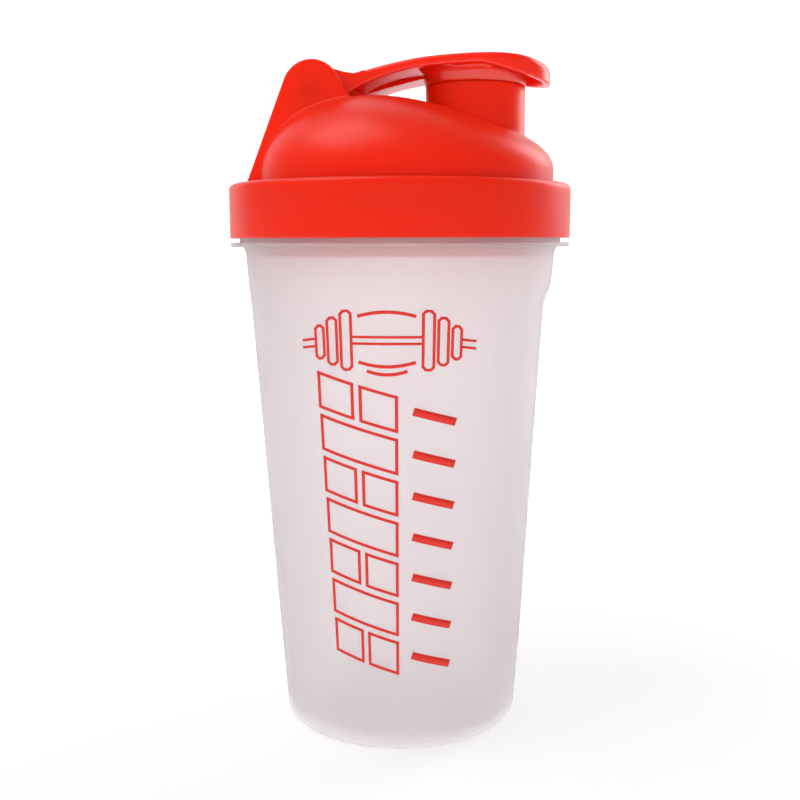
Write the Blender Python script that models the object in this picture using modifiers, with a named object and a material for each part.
"""Protein shaker bottle: a frosted cup, a mixing strainer, a screw lid with a spout, and a flip cap.

Metres, +Z up. The origin is the centre of the cup's base, the spout points to +X,
and the flip cap turns on an axis along Y at the rear of the lid.
"""

import math

import bmesh
import bpy
from mathutils import Vector

# ---------------------------------------------------------------- driving dimensions
# Cup
BODY_HEIGHT = 0.1467            # base to the underside of the flange
BASE_RADIUS = 0.0367            # outer radius at the base, before the corner is rounded
BASE_CORNER = 0.0020            # radius of the base corner
MOUTH_RADIUS = 0.0457           # inner radius of the neck
DESIGN_MOUTH = 0.0457           # mouth for which the lid's and cap's places and widths are given
PLAN_SCALE = MOUTH_RADIUS / DESIGN_MOUTH
CUP_WALL = 0.0015               # wall of the tapered body
NECK_WALL = 0.0016              # wall of the threaded neck
NECK_HEIGHT = 0.0131            # flange to rim
FLANGE_THICKNESS = 0.0012       # thin ring between body and neck
FLANGE_INSET = 0.0002           # how far the flange stays inside the lid's collar
BEAD_HEIGHT = 0.0017            # plain bead under the thread
BEAD_PROUD = 0.0014             # how far the bead stands out of the neck
SHOULDER_STEP = 0.0002          # the body is this much slimmer than the neck
BASE_RECESS = 0.0008            # the middle of the base is raised off the table
FOOT_WIDTH = 0.0042             # flat ring that the cup stands on
GRIP_DEPTH = 0.0024             # how far the two grip flats are pressed in
GRIP_TURN = math.radians(-6.0)  # direction of the first grip flat
GRIP_HALF_ANGLE = math.radians(32.0)
GRIP_TOP_DROP = 0.0100          # flange to the top of the grip flat's shoulder
GRIP_SHOULDER = 0.0090          # height over which the grip flat reaches its full depth
GRIP_FOOT = 0.0220              # height at which the grip flat has faded out

# Thread between neck and collar
THREAD_DEPTH = 0.0019
THREAD_PITCH = 0.0060
THREAD_TURNS = 1.1
THREAD_ROOT_WIDTH = 0.0026
THREAD_CREST_WIDTH = 0.0012
THREAD_CLEARANCE = 0.0008       # crest of one thread to root of the other
THREAD_START = 0.0047           # flange top to the middle of the neck thread's first turn
THREAD_EMBED = 0.0006           # how far a ridge is sunk into its wall
THREAD_RUNOUT = math.radians(20.0)

# Screw lid
COLLAR_WALL = 0.0015
COLLAR_HEIGHT = 0.0158
COLLAR_GAP = 0.0013             # flange top to the collar's lower edge
COLLAR_ROUND = 0.0030           # rounding of the collar's upper edge
COLLAR_LEDGE = 0.0052           # flat step from the collar to the dome
LID_WALL = 0.0018
DOME_HEIGHT = 0.0264
DOME_APEX_X = -0.0040 * PLAN_SCALE
DOME_FRONT_WALL = 0.0044        # upright part of the dome under the spout
DOME_REAR_PULL = 0.0034 * PLAN_SCALE  # the dome's foot is this much nearer at the rear
FRONT_FULLNESS = 1.08           # exponent of the dome's section towards the spout
SIDE_FULLNESS = 2.20            # and towards the sides
REAR_FULLNESS = 2.75            # and towards the rear
FULLNESS_SPREAD = 0.8           # how soon the fullness grows on the way from front to side
WALL_FADE = 1.5                 # how soon the upright part fades on the way to the rear

# Hinge, ears and channel
HINGE_X = -0.0226 * PLAN_SCALE
HINGE_HEIGHT = 0.0261           # above the collar's top
EAR_RADIUS = 0.0086
EAR_OUTER = 0.0200 * PLAN_SCALE  # outer face of each ear, from the middle plane
EAR_THICKNESS = 0.0024
EAR_REAR_SLOPE = math.radians(22.0)
EAR_FRONT_SLOPE = math.radians(31.0)
CHANNEL_INSET = 0.0003          # the channel is this much narrower than the ears
CHANNEL_MIDDLE_RISE = 0.0030    # floor behind the spout, above the floor under the hinge
CHANNEL_FRONT_DROP = 0.0044     # floor at the dome's front edge, below the floor under the hinge
HINGE_FLOOR_GAP = 0.0007        # barrel of the cap to the channel's floor
SOCKET_RADIUS = 0.0028
SOCKET_DEPTH = 0.0016
TRUNNION_CLEARANCE = 0.0003

# Spout
SPOUT_X = 0.0228 * PLAN_SCALE
SPOUT_RADIUS = 0.01475 * PLAN_SCALE
SPOUT_WALL = 0.0017
SPOUT_RISE = 0.0023             # shoulder of the spout, above the hinge axis
MOUTHPIECE_STEP = 0.0013        # the mouthpiece is this much slimmer than the spout
MOUTHPIECE_TAPER = 0.0005
MOUTHPIECE_HEIGHT = 0.0040

# Flip cap
CAP_PLATE = 0.0020
CAP_SIDE_GAP = 0.0004           # arm to ear
BARREL_RADIUS = 0.0082
BARREL_START = -20.0            # degrees round the barrel, from its lower front edge
BARREL_END = -302.0             # over the rear to where the arm leaves it
VALLEY_SHARES = (0.35, 0.7)     # points of the hollow between barrel and arm
ARM_DIP_X = 0.0115 * PLAN_SCALE  # hinge axis to the lowest point of the arm's top
ARM_WAIST = 0.0140 * PLAN_SCALE  # half of the arm's width at that point
ARM_DIP_RISE = 0.0053
CREST_OFFSET = 0.0019 * PLAN_SCALE  # crest of the cap, forward of the spout's axis
CREST_RISE = 0.0096             # crest of the cap, above the hinge axis
TIP_DROP = 0.0018               # top of the thumb tab's edge, below the crest
TAB_LENGTH = 0.0065 * PLAN_SCALE  # thumb tab, forward of the ring
TAB_START = 0.0035 * PLAN_SCALE  # where the tab's rounded outline begins, forward of the spout's axis
ARM_DEPTH = 0.0028              # thickness of the arm where it meets the cover
ARM_EXTRA = 0.0018              # and how much thicker it is at the hinge
RIM_SLOPE = 0.255               # fall of the cover's lower rim towards the thumb tab's edge
RING_CLEARANCE = 0.0006         # mouthpiece to ring, at the mouthpiece's root
RING_WALL = 0.00145
RING_GAP = 0.0004               # ring to the spout's shoulder
PLUG_CLEARANCE = 0.0004         # plug to bore
PLUG_TAPER = 0.0006
PLUG_WALL = 0.0014
PLUG_REACH = 0.0030             # how far the plug enters the mouthpiece

# Strainer
STRAINER_SIDE_GAP = 0.0007      # skirt to the cup's inner wall
STRAINER_WALL = 0.0014
STRAINER_RIM_GAP = 0.0003       # rim to the cup's edge
STRAINER_RIM = 0.0015           # thickness of the rim
STRAINER_LID_GAP = 0.0004       # rim to the lid's ceiling
STRAINER_DROP = 0.0173          # rim's underside to the bottom of the strainer
STRAINER_PLATE = 0.0016
STRAINER_PITCH = 0.0094         # from one window of the mesh to the next
STRAINER_BAR = 0.0022

SEGMENTS = 64                   # sides of a round shape, a multiple of four
SMALL_SEGMENTS = 32
CUT = 0.0010                    # how far a cutter runs past what it cuts
TOP_OF_CUTS = 0.0400            # reach of upward cutters above the hinge axis

# ---------------------------------------------------------------- derived places
FLANGE_TOP = BODY_HEIGHT + FLANGE_THICKNESS
RIM_Z = FLANGE_TOP + NECK_HEIGHT
NECK_RADIUS = MOUTH_RADIUS + NECK_WALL
SHOULDER_RADIUS = NECK_RADIUS - SHOULDER_STEP
COLLAR_BORE = NECK_RADIUS + THREAD_DEPTH + THREAD_CLEARANCE
COLLAR_RADIUS = COLLAR_BORE + COLLAR_WALL
FLANGE_RADIUS = COLLAR_RADIUS - FLANGE_INSET
COLLAR_BOTTOM = FLANGE_TOP + COLLAR_GAP
CEILING_Z = RIM_Z + STRAINER_RIM_GAP + STRAINER_RIM + STRAINER_LID_GAP
COLLAR_TOP = COLLAR_BOTTOM + COLLAR_HEIGHT
DOME_RADIUS = COLLAR_RADIUS - COLLAR_LEDGE
HINGE_Z = COLLAR_TOP + HINGE_HEIGHT
EAR_INNER = EAR_OUTER - EAR_THICKNESS
CHANNEL_HALF = EAR_OUTER - CHANNEL_INSET
FLOOR_Z = HINGE_Z - BARREL_RADIUS - HINGE_FLOOR_GAP
SHOULDER_Z = HINGE_Z + SPOUT_RISE
MOUTH_TOP_Z = SHOULDER_Z + MOUTHPIECE_HEIGHT
MOUTHPIECE_RADIUS = SPOUT_RADIUS - MOUTHPIECE_STEP
MOUTHPIECE_BORE = MOUTHPIECE_RADIUS - MOUTHPIECE_TAPER - SPOUT_WALL
ARM_HALF = EAR_INNER - CAP_SIDE_GAP
RING_BORE = MOUTHPIECE_RADIUS + RING_CLEARANCE
RING_RADIUS = RING_BORE + RING_WALL
TIP_X = SPOUT_X + RING_RADIUS + TAB_LENGTH
PLUG_RADIUS = MOUTHPIECE_BORE - PLUG_CLEARANCE


# ---------------------------------------------------------------- scene helpers
def clear_scene():
    for item in list(bpy.data.objects):
        bpy.data.objects.remove(item, do_unlink=True)


def new_collection(name):
    group = bpy.data.collections.new(name)
    bpy.context.scene.collection.children.link(group)
    return group


def make_material(name, color, roughness):
    material = bpy.data.materials.new(name)
    material.use_nodes = True
    shader = material.node_tree.nodes["Principled BSDF"]
    shader.inputs["Base Color"].default_value = (*color, 1.0)
    shader.inputs["Roughness"].default_value = roughness
    shader.inputs["Metallic"].default_value = 0.0
    return material


def add_object(name, mesh, group, location=(0.0, 0.0, 0.0)):
    item = bpy.data.objects.new(name, mesh)
    item.location = location
    group.objects.link(item)
    if group.name == "cutters":
        item.hide_render = True
        item.display_type = "WIRE"
    return item


def finish_part(item, material):
    item.data.materials.append(material)
    item.data.shade_smooth()
    item.data.set_sharp_from_angle(angle=math.radians(35.0))


def boolean(item, operand, operation):
    step = item.modifiers.new(operand.name, "BOOLEAN")
    step.operation = operation
    step.solver = "EXACT"
    step.object = operand


# ---------------------------------------------------------------- shape helpers
def lerp(low, high, share):
    return low + (high - low) * share


def smooth(share):
    share = min(max(share, 0.0), 1.0)
    return share * share * (3.0 - 2.0 * share)


def arc(cx, cz, radius, start, end, count):
    """Points on an arc from one angle to another, in degrees."""
    angles = [math.radians(lerp(start, end, k / count)) for k in range(count + 1)]
    return [(cx + radius * math.cos(a), cz + radius * math.sin(a)) for a in angles]


def turn(name, profile, group, centre=(0.0, 0.0), sides=SEGMENTS):
    """A profile of (radius, height) points turned about an upright axis."""
    mesh = bpy.data.meshes.new(name)
    points = [(radius, 0.0, height) for radius, height in profile]
    count = len(points)
    on_axis = profile[0][0] == 0.0 and profile[-1][0] == 0.0
    edges = [(k, k + 1) for k in range(count - 1)]
    if not on_axis:
        edges.append((count - 1, 0))
    mesh.from_pydata(points, edges, [])
    item = add_object(name, mesh, group, (centre[0], centre[1], 0.0))
    screw = item.modifiers.new("turn", "SCREW")
    screw.axis = "Z"
    screw.steps = sides
    screw.render_steps = sides
    screw.use_merge_vertices = True
    screw.merge_threshold = 0.00001
    return item


def settle(item):
    """Puts an object's modifiers and place into its mesh."""
    bpy.context.view_layer.update()
    depsgraph = bpy.context.evaluated_depsgraph_get()
    mesh = bpy.data.meshes.new_from_object(item.evaluated_get(depsgraph))
    mesh.transform(item.matrix_world)
    item.modifiers.clear()
    item.data = mesh
    item.location = (0.0, 0.0, 0.0)


def plate(name, outline, low, high, group, upright):
    """A flat outline with a thickness: (x, z) points along Y if upright, else (x, y) points along Z."""
    curve = bpy.data.curves.new(name, "CURVE")
    curve.dimensions = "2D"
    curve.fill_mode = "BOTH"
    curve.extrude = 0.5 * (high - low)
    spline = curve.splines.new("POLY")
    spline.points.add(len(outline) - 1)
    for point, (x, y) in zip(spline.points, outline):
        point.co = (x, y, 0.0, 1.0)
    spline.use_cyclic_u = True
    middle = 0.5 * (low + high)
    guide = bpy.data.objects.new(name, curve)
    guide.location = (0.0, middle, 0.0) if upright else (0.0, 0.0, middle)
    guide.rotation_euler = (math.radians(90.0), 0.0, 0.0) if upright else (0.0, 0.0, 0.0)
    group.objects.link(guide)
    bpy.context.view_layer.update()
    depsgraph = bpy.context.evaluated_depsgraph_get()
    mesh = bpy.data.meshes.new_from_object(guide.evaluated_get(depsgraph))
    mesh.transform(guide.matrix_world)
    bpy.data.objects.remove(guide, do_unlink=True)
    shape = bmesh.new()
    shape.from_mesh(mesh)
    bmesh.ops.remove_doubles(shape, verts=shape.verts, dist=0.00001)
    bmesh.ops.recalc_face_normals(shape, faces=shape.faces)
    shape.to_mesh(mesh)
    shape.free()
    return add_object(name, mesh, group)


def loft(name, rings, group):
    """A closed body through rings of equal count, its two ends closed by a flat cap."""
    shape = bmesh.new()
    rows = [[shape.verts.new(point) for point in ring] for ring in rings]
    count = len(rows[0])
    for lower, upper in zip(rows, rows[1:]):
        for k in range(count):
            after = (k + 1) % count
            shape.faces.new((lower[k], lower[after], upper[after], upper[k]))
    shape.faces.new(rows[0])
    shape.faces.new(rows[-1])
    bmesh.ops.recalc_face_normals(shape, faces=shape.faces)
    mesh = bpy.data.meshes.new(name)
    shape.to_mesh(mesh)
    shape.free()
    return add_object(name, mesh, group)


def thread_ridge(name, wall_radius, crest_radius, start_angle, start_height, group):
    """One helical ridge that rises out of a round wall and fades at both ends."""
    steps = round(SEGMENTS * THREAD_TURNS)
    total = math.tau * THREAD_TURNS
    inward = 1.0 if crest_radius < wall_radius else -1.0
    rings = []
    for k in range(steps + 1):
        angle = total * k / steps
        height = start_height + THREAD_PITCH * angle / math.tau
        fade = smooth(min(angle, total - angle) / THREAD_RUNOUT)
        crest = lerp(wall_radius + inward * 0.5 * THREAD_EMBED, crest_radius, fade)
        root = wall_radius + inward * THREAD_EMBED
        section = [
            (root, -0.5 * THREAD_ROOT_WIDTH),
            (crest, -0.5 * THREAD_CREST_WIDTH),
            (crest, 0.5 * THREAD_CREST_WIDTH),
            (root, 0.5 * THREAD_ROOT_WIDTH),
        ]
        cosine = math.cos(start_angle + angle)
        sine = math.sin(start_angle + angle)
        rings.append([Vector((r * cosine, r * sine, height + dz)) for r, dz in section])
    return loft(name, rings, group)


# ---------------------------------------------------------------- cup
def cup_profile():
    """Inner base centre, up the inside, over the rim and down the outside to the base centre."""
    slope = (SHOULDER_RADIUS - BASE_RADIUS) / BODY_HEIGHT
    recess_radius = BASE_RADIUS - BASE_CORNER - FOOT_WIDTH
    rise = BASE_RECESS + CUP_WALL
    inner_corner = BASE_CORNER + CUP_WALL
    heights = [BODY_HEIGHT - GRIP_TOP_DROP - GRIP_SHOULDER * k / 4 for k in range(5)]
    full = heights[-1]
    heights += [lerp(full, GRIP_FOOT, k / 3) for k in range(1, 4)]
    inside = [(0.0, rise), (recess_radius - CUP_WALL, rise), (recess_radius, CUP_WALL)]
    inside.append((BASE_RADIUS - BASE_CORNER, CUP_WALL))
    inside.append((BASE_RADIUS + slope * inner_corner - CUP_WALL, inner_corner))
    inside += [(BASE_RADIUS + slope * z - CUP_WALL, z) for z in reversed(heights)]
    inside.append((MOUTH_RADIUS, BODY_HEIGHT))
    inside.append((MOUTH_RADIUS, RIM_Z))
    outside = [(NECK_RADIUS, RIM_Z), (NECK_RADIUS, FLANGE_TOP + BEAD_HEIGHT + BEAD_PROUD * 0.5)]
    outside.append((NECK_RADIUS + BEAD_PROUD, FLANGE_TOP + BEAD_HEIGHT))
    outside.append((NECK_RADIUS + BEAD_PROUD, FLANGE_TOP))
    outside.append((FLANGE_RADIUS, FLANGE_TOP))
    outside.append((FLANGE_RADIUS, BODY_HEIGHT))
    outside.append((SHOULDER_RADIUS + 0.5 * FLANGE_THICKNESS, BODY_HEIGHT))
    outside.append((SHOULDER_RADIUS - slope * FLANGE_THICKNESS, BODY_HEIGHT - FLANGE_THICKNESS))
    outside += [(BASE_RADIUS + slope * z, z) for z in heights]
    outside += arc(BASE_RADIUS - BASE_CORNER, BASE_CORNER, BASE_CORNER, 0.0, -90.0, 3)
    outside += [(recess_radius, 0.0), (recess_radius - BASE_RECESS, BASE_RECESS), (0.0, BASE_RECESS)]
    return inside + outside


def grip_press(x, y, z):
    """How far the wall is pressed in at a point: full under the shoulder, fading towards the base."""
    turn_angle = math.atan2(y, x) - GRIP_TURN
    away = abs((turn_angle + 0.5 * math.pi) % math.pi - 0.5 * math.pi)
    if away > GRIP_HALF_ANGLE:
        return 0.0
    across = math.cos(0.5 * math.pi * away / GRIP_HALF_ANGLE) ** 2
    top = BODY_HEIGHT - GRIP_TOP_DROP
    full = top - GRIP_SHOULDER
    if z > full:
        along = smooth((top - z) / GRIP_SHOULDER)
    else:
        along = min(max((z - GRIP_FOOT) / (full - GRIP_FOOT), 0.0), 1.0)
    return GRIP_DEPTH * across * along


def make_cup(group, cutters, material):
    cup = turn("cup", cup_profile(), group)
    settle(cup)
    for vertex in cup.data.vertices:
        x, y, z = vertex.co
        radius = math.hypot(x, y)
        if radius > 0.5 * BASE_RADIUS:
            share = 1.0 - grip_press(x, y, z) / radius
            vertex.co = (x * share, y * share, z)
    ridge = thread_ridge(
        "neck_thread", NECK_RADIUS, NECK_RADIUS + THREAD_DEPTH, 0.0, FLANGE_TOP + THREAD_START, cutters
    )
    boolean(cup, ridge, "UNION")
    finish_part(cup, material)


# ---------------------------------------------------------------- strainer
def make_strainer(group, cutters, material):
    radius = MOUTH_RADIUS - STRAINER_SIDE_GAP
    rim_low = RIM_Z + STRAINER_RIM_GAP
    rim_top = rim_low + STRAINER_RIM
    low = rim_low - STRAINER_DROP
    floor = low + STRAINER_PLATE
    profile = [(0.0, floor), (radius - STRAINER_WALL, floor), (radius - STRAINER_WALL, rim_top)]
    profile += [(NECK_RADIUS, rim_top), (NECK_RADIUS, rim_low), (radius, rim_low)]
    profile += [(radius, low + STRAINER_WALL), (radius - 0.5 * STRAINER_WALL, low), (0.0, low)]
    strainer = turn("strainer", profile, group)
    settle(strainer)
    windows = bmesh.new()
    side = STRAINER_PITCH - STRAINER_BAR
    reach = radius - STRAINER_WALL - STRAINER_BAR
    count = math.ceil(reach / STRAINER_PITCH)
    for i in range(-count, count + 1):
        for j in range(-count, count + 1):
            x = i * STRAINER_PITCH
            y = j * STRAINER_PITCH
            corner = math.hypot(abs(x) + 0.5 * side, abs(y) + 0.5 * side)
            if corner > reach:
                continue
            made = bmesh.ops.create_cube(windows, size=1.0)["verts"]
            bmesh.ops.scale(windows, vec=(side, side, STRAINER_PLATE + 2.0 * CUT), verts=made)
            bmesh.ops.translate(windows, vec=(x, y, low + 0.5 * STRAINER_PLATE), verts=made)
    mesh = bpy.data.meshes.new("strainer_windows")
    windows.to_mesh(mesh)
    windows.free()
    cutter = add_object("strainer_windows", mesh, cutters)
    boolean(strainer, cutter, "DIFFERENCE")
    finish_part(strainer, material)


# ---------------------------------------------------------------- screw lid
def dome_ring(share, inset):
    """One ring of the dome at a share of its height; an inset shrinks and lowers the whole dome.

    The section is a superellipse whose exponent grows from the spout to the rear. Its top is
    off centre, its front starts with an upright wall, and its foot is drawn in at the rear.
    """
    ring = []
    for k in range(SEGMENTS):
        angle = math.tau * k / SEGMENTS
        cosine = math.cos(angle)
        back = 0.5 * (1.0 - cosine)
        foot = DOME_RADIUS - inset - DOME_REAR_PULL * back * back
        sideways = min(1.0 - cosine, 1.0) ** FULLNESS_SPREAD
        exponent = lerp(FRONT_FULLNESS, SIDE_FULLNESS, sideways)
        exponent += (REAR_FULLNESS - SIDE_FULLNESS) * max(-cosine, 0.0)
        wall = DOME_FRONT_WALL * (1.0 - back) ** WALL_FADE
        reach = math.sqrt(foot**2 - (DOME_APEX_X * math.sin(angle)) ** 2) - DOME_APEX_X * cosine
        across = reach * (1.0 - share * share) ** (1.0 / exponent)
        height = COLLAR_TOP - inset + wall + (DOME_HEIGHT - wall) * share
        ring.append(Vector((DOME_APEX_X + across * cosine, across * math.sin(angle), height)))
    return ring


def round_ring(radius, height):
    angles = [math.tau * k / SEGMENTS for k in range(SEGMENTS)]
    return [Vector((radius * math.cos(a), radius * math.sin(a), height)) for a in angles]


def dome_foot(inset, height):
    """The dome's outline, dropped onto a level."""
    return [Vector((point.x, point.y, height)) for point in dome_ring(0.0, inset)]


DOME_SHARES = [0.0, 0.16, 0.32, 0.46, 0.59, 0.71, 0.81, 0.89, 0.95, 0.985]


def lid_outer():
    edge = COLLAR_RADIUS - COLLAR_ROUND
    rings = [round_ring(COLLAR_RADIUS, COLLAR_BOTTOM)]
    corner = arc(edge, COLLAR_TOP - COLLAR_ROUND, COLLAR_ROUND, 0.0, 90.0, 4)
    rings += [round_ring(radius, height) for radius, height in corner]
    rings.append(dome_foot(0.0, COLLAR_TOP))
    rings += [dome_ring(share, 0.0) for share in DOME_SHARES]
    return rings


def lid_inner():
    rings = [round_ring(COLLAR_BORE, COLLAR_BOTTOM - CUT), round_ring(COLLAR_BORE, CEILING_Z)]
    rings.append(dome_foot(LID_WALL, CEILING_Z))
    rings += [dome_ring(share, LID_WALL) for share in DOME_SHARES]
    return rings


def channel_outline(drop):
    """Side outline of the channel that the cap's arm lies in, its floor lowered by a drop."""
    top = HINGE_Z + TOP_OF_CUTS
    low = FLOOR_Z - drop
    rear = -COLLAR_RADIUS - CUT
    front = COLLAR_RADIUS + CUT
    run_out = DOME_RADIUS - COLLAR_LEDGE
    floor = [(rear, low), (HINGE_X + EAR_RADIUS, low)]
    floor.append((HINGE_X + 2.0 * EAR_RADIUS, low + CHANNEL_MIDDLE_RISE))
    floor.append((SPOUT_X - SPOUT_RADIUS, low + CHANNEL_MIDDLE_RISE))
    floor.append((run_out, low - CHANNEL_FRONT_DROP))
    slope = (CHANNEL_MIDDLE_RISE + CHANNEL_FRONT_DROP) / (run_out - SPOUT_X + SPOUT_RADIUS)
    floor.append((front, low - CHANNEL_FRONT_DROP - 2.0 * slope * (front - run_out)))
    return floor + [(front, top), (rear, top)]


def ear_outline():
    """Side outline of an ear: a round top about the hinge, on two sloping edges."""
    low = COLLAR_TOP - 0.5 * LID_WALL
    crown = arc(
        HINGE_X, HINGE_Z, EAR_RADIUS, math.degrees(EAR_FRONT_SLOPE), 180.0 - math.degrees(EAR_REAR_SLOPE), 12
    )
    front = crown[0]
    rear = crown[-1]
    front_low = FLOOR_Z - LID_WALL
    outline = [(front[0] + (front[1] - front_low) * math.tan(EAR_FRONT_SLOPE), front_low)]
    outline += crown
    outline.append((rear[0] - (rear[1] - low) * math.tan(EAR_REAR_SLOPE), low))
    outline.append((HINGE_X, low))
    return outline


def spout_profile():
    """Outside of the spout as a solid stem with its slimmer mouthpiece."""
    low = FLOOR_Z - CHANNEL_FRONT_DROP - 0.5 * LID_WALL
    edge = 0.25 * SPOUT_WALL
    top_radius = MOUTHPIECE_RADIUS - MOUTHPIECE_TAPER
    profile = [(0.0, MOUTH_TOP_Z), (top_radius - edge, MOUTH_TOP_Z), (top_radius, MOUTH_TOP_Z - edge)]
    profile += [(MOUTHPIECE_RADIUS, SHOULDER_Z), (SPOUT_RADIUS - edge, SHOULDER_Z)]
    profile += [(SPOUT_RADIUS, SHOULDER_Z - edge), (SPOUT_RADIUS, low), (0.0, low)]
    return profile


def bore_profile():
    """The way through the spout, wider under its shoulder."""
    wide = SPOUT_RADIUS - SPOUT_WALL
    throat = SHOULDER_Z - SPOUT_WALL
    step = wide - MOUTHPIECE_BORE
    profile = [(0.0, MOUTH_TOP_Z + CUT), (MOUTHPIECE_BORE, MOUTH_TOP_Z + CUT)]
    profile += [(MOUTHPIECE_BORE, throat), (wide, throat - step)]
    profile += [(wide, CEILING_Z + CUT), (0.0, CEILING_Z + CUT)]
    return profile


def make_screw_lid(group, cutters, material):
    lid = loft("screw_lid", lid_outer(), group)
    channel = plate("channel", channel_outline(0.0), -CHANNEL_HALF, CHANNEL_HALF, cutters, True)
    boolean(lid, channel, "DIFFERENCE")
    for name, low in (("ear_near", -EAR_OUTER), ("ear_far", EAR_INNER)):
        ear = plate(name, ear_outline(), low, low + EAR_THICKNESS, cutters, True)
        boolean(lid, ear, "UNION")
    stem = turn("spout_stem", spout_profile(), cutters, (SPOUT_X, 0.0), SMALL_SEGMENTS)
    boolean(lid, stem, "UNION")
    cavity = loft("lid_cavity", lid_inner(), cutters)
    keep_half = CHANNEL_HALF + LID_WALL
    keep = plate("channel_shell", channel_outline(LID_WALL), -keep_half, keep_half, cutters, True)
    boolean(cavity, keep, "DIFFERENCE")
    boolean(lid, cavity, "DIFFERENCE")
    bore = turn("spout_bore", bore_profile(), cutters, (SPOUT_X, 0.0), SMALL_SEGMENTS)
    boolean(lid, bore, "DIFFERENCE")
    crest = COLLAR_BORE - THREAD_DEPTH
    low = COLLAR_BOTTOM + 0.5 * THREAD_ROOT_WIDTH + THREAD_CLEARANCE
    neck_start = FLANGE_TOP + THREAD_START
    lead = low - neck_start + 0.5 * THREAD_PITCH
    ridge = thread_ridge("collar_thread", COLLAR_BORE, crest, math.tau * lead / THREAD_PITCH, low, cutters)
    boolean(lid, ridge, "UNION")
    reach = EAR_INNER + SOCKET_DEPTH
    socket = plate("hinge_sockets", hinge_circle(SOCKET_RADIUS), -reach, reach, cutters, True)
    boolean(lid, socket, "DIFFERENCE")
    finish_part(lid, material)


# ---------------------------------------------------------------- flip cap
def hinge_circle(radius):
    step = 360.0 / SMALL_SEGMENTS
    return arc(HINGE_X, HINGE_Z, radius, 0.0, 360.0 - step, SMALL_SEGMENTS - 1)


def arm_top(x):
    """Height of the cap's top above the hinge axis: up from the dip to the crest, then down to the tip."""
    dip_x = HINGE_X + ARM_DIP_X
    crest_x = SPOUT_X + CREST_OFFSET
    if x < crest_x:
        share = (crest_x - x) / (crest_x - dip_x)
        return lerp(CREST_RISE, ARM_DIP_RISE, share * share)
    share = (x - crest_x) / (TIP_X - crest_x)
    return CREST_RISE - TIP_DROP * share**3


def arm_depth(x):
    """Depth of the cap's side: the arm thickens towards the hinge, the cover's rim runs down to the tip."""
    start = SPOUT_X - RING_RADIUS
    tab = SPOUT_X + TAB_START
    if x > tab:
        return arm_top(x) - arm_top(tab) + ARM_DEPTH + RIM_SLOPE * (x - tab)
    share = max((start - x) / (start - HINGE_X - ARM_DIP_X), 0.0)
    return ARM_DEPTH + ARM_EXTRA * share * share


def valley(start, end):
    """Two points of the hollow between the barrel and the arm, level where the arm begins."""
    return [(lerp(start[0], end[0], t), lerp(end[1], start[1], (1.0 - t) ** 2)) for t in VALLEY_SHARES]


def cap_side_outline():
    """Side outline of the whole cap: barrel about the hinge, arm, cover and thumb tab."""
    dip_x = HINGE_X + ARM_DIP_X
    barrel = arc(HINGE_X, HINGE_Z, BARREL_RADIUS, BARREL_START, BARREL_END, 17)
    xs = [lerp(dip_x, TIP_X, k / 14) for k in range(15)]
    top = [(x, HINGE_Z + arm_top(x)) for x in xs]
    low = [(x, HINGE_Z + arm_top(x) - arm_depth(x)) for x in reversed(xs)]
    return barrel + valley(barrel[-1], top[0]) + top + low


def cap_cavity_outline(start, lift):
    """Side outline of the space under the cap's plate, from a start to the thumb tab, open below."""
    low = FLOOR_Z - CUT
    end = TIP_X - CAP_PLATE
    xs = [lerp(start, end, k / 12) for k in range(13)]
    top = [(x, HINGE_Z + arm_top(x) - CAP_PLATE + lift) for x in xs]
    return [(start, low)] + top + [(end, low)]


def cap_nose(inset):
    """Half ellipse round the spout and the thumb tab, from the near side to the far side."""
    start = SPOUT_X + TAB_START
    half = ARM_HALF - inset
    length = TIP_X - start - inset
    steps = 16
    angles = [math.pi * (k / steps - 0.5) for k in range(steps + 1)]
    return [(start + length * math.cos(a), half * math.sin(a)) for a in angles]


def cap_plan_outline():
    """Plan outline: the barrel, an arm that widens from its waist, and the cover's nose."""
    rear = HINGE_X - BARREL_RADIUS - CUT
    flare = HINGE_X + BARREL_RADIUS * math.cos(math.radians(BARREL_END))
    near = [(rear, -ARM_HALF), (flare, -ARM_HALF)]
    near += [(HINGE_X + ARM_DIP_X, -ARM_WAIST), (SPOUT_X - RING_RADIUS, -ARM_HALF)]
    far = [(x, -y) for x, y in reversed(near)]
    return near + cap_nose(0.0) + far


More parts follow.
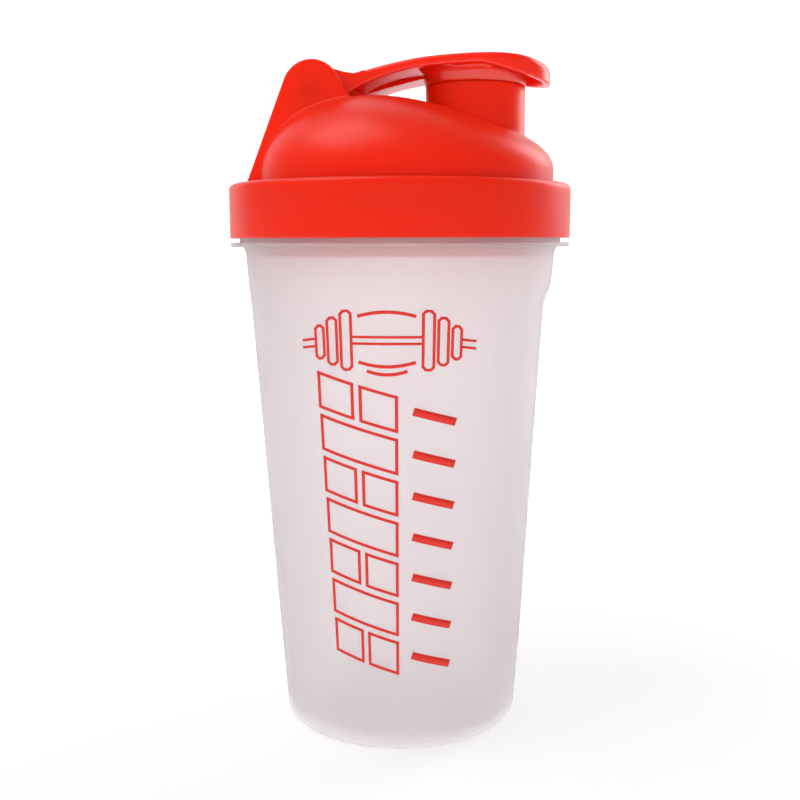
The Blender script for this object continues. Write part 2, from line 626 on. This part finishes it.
def make_flip_cap(group, cutters, material):
    top = HINGE_Z + TOP_OF_CUTS
    low = FLOOR_Z - 2.0 * CUT
    wide = ARM_HALF + CUT
    cap = plate("flip_cap", cap_side_outline(), -wide, wide, group, True)
    plan = plate("cap_plan", cap_plan_outline(), low, top, cutters, False)
    boolean(cap, plan, "INTERSECT")
    start = SPOUT_X - RING_RADIUS + 0.5 * RING_WALL
    hollow = plate("cap_hollow", cap_cavity_outline(start, 0.0), -wide, wide, cutters, True)
    half = ARM_HALF - CAP_PLATE
    inside = [(start - CUT, -half)] + cap_nose(CAP_PLATE) + [(start - CUT, half)]
    inner_plan = plate("cap_inner_plan", inside, low - CUT, top, cutters, False)
    boolean(hollow, inner_plan, "INTERSECT")
    boolean(cap, hollow, "DIFFERENCE")
    under = cap_cavity_outline(SPOUT_X - RING_RADIUS - CUT, 0.5 * CAP_PLATE)
    roof = plate("cap_roof", under, -wide, wide, cutters, True)
    seat = SHOULDER_Z + RING_GAP
    ring = [(RING_BORE, top), (RING_BORE, seat), (RING_RADIUS - RING_GAP, seat)]
    ring += [(RING_RADIUS, seat + RING_GAP), (RING_RADIUS, top)]
    plug_low = MOUTH_TOP_Z - PLUG_REACH
    inner = PLUG_RADIUS - PLUG_WALL
    plug = [(inner - PLUG_TAPER, plug_low), (PLUG_RADIUS - PLUG_TAPER, plug_low)]
    plug += [(PLUG_RADIUS, MOUTH_TOP_Z), (PLUG_RADIUS, top), (inner, top), (inner, MOUTH_TOP_Z)]
    for name, profile in (("cap_ring", ring), ("cap_plug", plug)):
        round_part = turn(name, profile[::-1], cutters, (SPOUT_X, 0.0), SMALL_SEGMENTS)
        boolean(round_part, roof, "INTERSECT")
        boolean(cap, round_part, "UNION")
    radius = SOCKET_RADIUS - TRUNNION_CLEARANCE
    tip = EAR_INNER + SOCKET_DEPTH - TRUNNION_CLEARANCE
    for name, inner_y, outer_y in (("trunnion_near", -tip, 0.5 * CAP_PLATE - ARM_HALF),
                                   ("trunnion_far", ARM_HALF - 0.5 * CAP_PLATE, tip)):
        pin = plate(name, hinge_circle(radius), inner_y, outer_y, cutters, True)
        boolean(cap, pin, "UNION")
    finish_part(cap, material)


# ---------------------------------------------------------------- assembly
def build():
    clear_scene()
    group = new_collection("protein_shaker_bottle")
    cutters = new_collection("cutters")
    frosted = make_material("frosted_plastic", (0.78, 0.72, 0.74), 0.45)
    red = make_material("red_plastic", (0.80, 0.035, 0.012), 0.38)
    red_mesh = make_material("red_strainer_plastic", (0.72, 0.03, 0.012), 0.45)
    red_cap = make_material("red_cap_plastic", (0.80, 0.04, 0.014), 0.34)
    make_cup(group, cutters, frosted)
    make_strainer(group, cutters, red_mesh)
    make_screw_lid(group, cutters, red)
    make_flip_cap(group, cutters, red_cap)


build()
